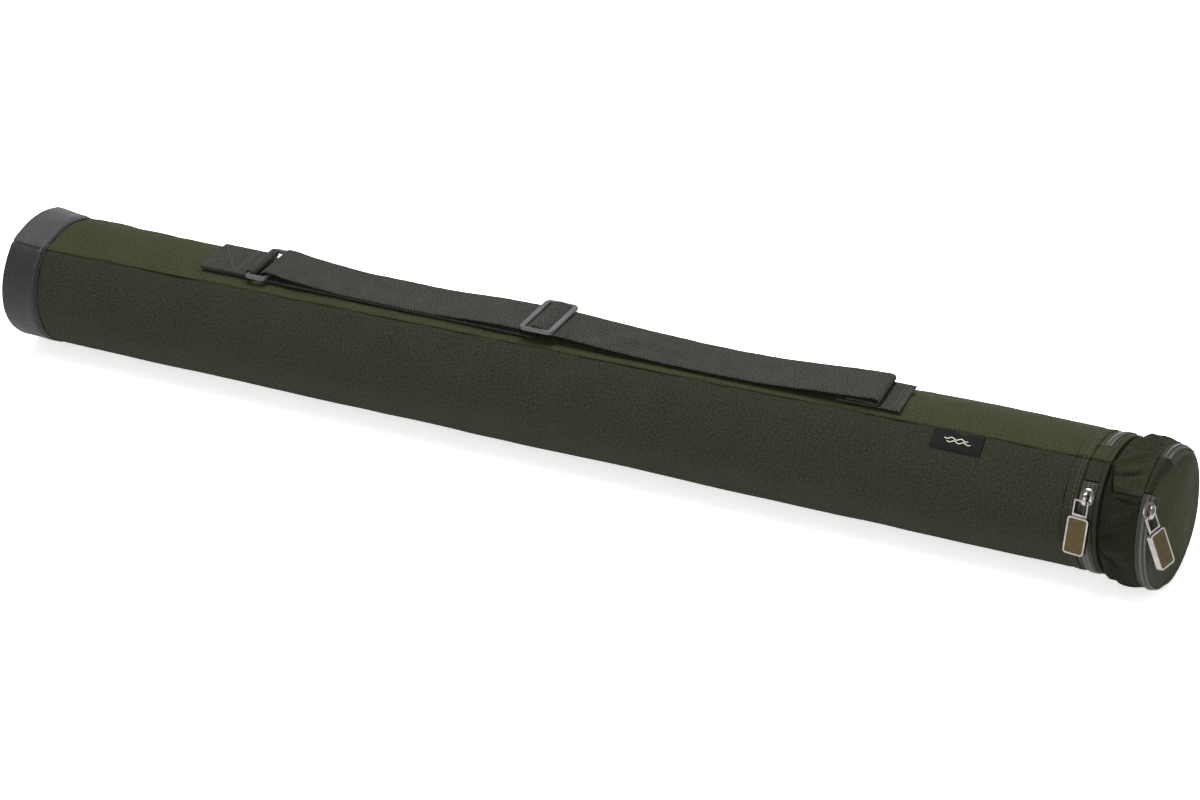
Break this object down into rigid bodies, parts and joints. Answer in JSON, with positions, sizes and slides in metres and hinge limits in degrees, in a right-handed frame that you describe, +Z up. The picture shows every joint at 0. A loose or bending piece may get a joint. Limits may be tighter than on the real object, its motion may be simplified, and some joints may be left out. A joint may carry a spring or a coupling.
{
  "type": "rod case",
  "caption": "Long stiff tube case in a padded fabric sleeve, with a grey closed base, a zipped soft lid, a zipped end flap and an adjustable webbing strap.",
  "frame": {"origin": "under the middle of the case, on the flat that its underside rests on", "axes": "+X along the case from the closed base to the zipped end, +Z up, -Y to the front, where the label and the zip pulls are"},
  "size_m": [0.9627, 0.1089, 0.1081],
  "materials": {
    "olive_fabric": "plain-weave coated polyester, matt",
    "olive_fabric_top": "plain-weave coated polyester, matt",
    "grey_leathercloth": "fine-grained coated cloth, satin",
    "webbing": "flat woven polypropylene webbing, matt",
    "zip_tape": "woven zip tape, matt",
    "zip_coil": "nylon coil",
    "moulded_plastic": "moulded acetal, satin",
    "nickel": "nickel-plated zinc, polished",
    "bronze_inlay": "olive-bronze enamel",
    "label_cloth": "fine woven satin label",
    "stiff_plastic": "extruded plastic tube"
  },
  "bodies": {
    "case": {"inner_tube": "stiff_plastic", "tube_base_disc": "stiff_plastic", "sleeve_main_panel": "olive_fabric", "sleeve_top_panel": "olive_fabric_top", "mouth_hem": "olive_fabric", "side_label": "label_cloth", "base_end_panel": "grey_leathercloth", "base_band_lower": "grey_leathercloth", "base_band_top": "grey_leathercloth", "base_piping": "grey_leathercloth", "zip_a_case_tape": "zip_tape", "zip_a_case_coil": "zip_coil", "lid_hinge_fabric": "olive_fabric", "anchor_tab": "webbing", "anchor_patch": "webbing", "strap_left_run": "webbing", "strap_right_run": "webbing"},
    "lid": {"zip_a_lid_coil": "zip_coil", "zip_a_lid_tape": "zip_tape", "lid_collar": "olive_fabric", "lid_gusset_main": "olive_fabric", "lid_gusset_top": "olive_fabric_top", "zip_b_lid_tape": "zip_tape", "zip_b_lid_coil": "zip_coil", "flap_hinge_fabric": "olive_fabric"},
    "flap": {"zip_b_flap_coil": "zip_coil", "zip_b_flap_tape": "zip_tape", "end_panel": "olive_fabric", "end_panel_stiffener": "stiff_plastic"},
    "zip_a_slider": {"zip_a_slider": "nickel"},
    "zip_a_pull": {"zip_a_pull_frame": "nickel", "zip_a_pull_inlay": "bronze_inlay"},
    "zip_b_slider": {"zip_b_slider": "nickel"},
    "zip_b_pull": {"zip_b_pull_frame": "nickel", "zip_b_pull_inlay": "bronze_inlay"},
    "ring": {"strap_ring": "moulded_plastic"},
    "strap": {"strap_main": "webbing", "strap_return": "webbing"},
    "tri_glide": {"tri_glide": "moulded_plastic", "strap_bar_wrap": "webbing"}
  },
  "joints": [
    {"name": "lid_hinge", "type": "hinge", "parent": "case", "child": "lid", "pos_m": [0.4245, -0.02054, 0.09586], "axis": [0, -0.9135, -0.4067], "range_deg": [0, 140], "deforming": ["lid_hinge_fabric"]},
    {"name": "flap_hinge", "type": "hinge", "parent": "lid", "child": "flap", "pos_m": [0.468, -0.02054, 0.09586], "axis": [0, -0.9135, -0.4067], "range_deg": [0, 100], "deforming": ["flap_hinge_fabric"]},
    {"name": "zip_a_run", "type": "hinge", "parent": "case", "child": "zip_a_slider", "pos_m": [0.4245, 0, 0.04973], "axis": [1, 0, 0], "range_deg": [0, 300]},
    {"name": "zip_a_pull_swing", "type": "hinge", "parent": "zip_a_slider", "child": "zip_a_pull", "pos_m": [0.4225, -0.0482, 0.07722], "axis": [-1, 0, 0], "range_deg": [0, 150]},
    {"name": "zip_b_run", "type": "hinge", "parent": "flap", "child": "zip_b_slider", "pos_m": [0.468, 0, 0.04973], "axis": [1, 0, 0], "range_deg": [0, 300]},
    {"name": "zip_b_pull_swing", "type": "hinge", "parent": "zip_b_slider", "child": "zip_b_pull", "pos_m": [0.47208, -0.04672, 0.07625], "axis": [-0.2621, -0.9613, -0.0852], "range_deg": [0, 130]},
    {"name": "ring_tilt", "type": "hinge", "parent": "case", "child": "ring", "pos_m": [-0.2672, 0, 0.09983], "axis": [0, -1, 0], "range_deg": [0, 8]},
    {"name": "strap_lift", "type": "slide", "parent": "case", "child": "strap", "axis": [0, 0, 1], "range_m": [0, 0.06], "deforming": ["strap_left_run", "strap_right_run"]},
    {"name": "tri_glide_slide", "type": "slide", "parent": "strap", "child": "tri_glide", "axis": [1, 0, 0], "range_m": [-0.1, 0.12]}
  ]
}
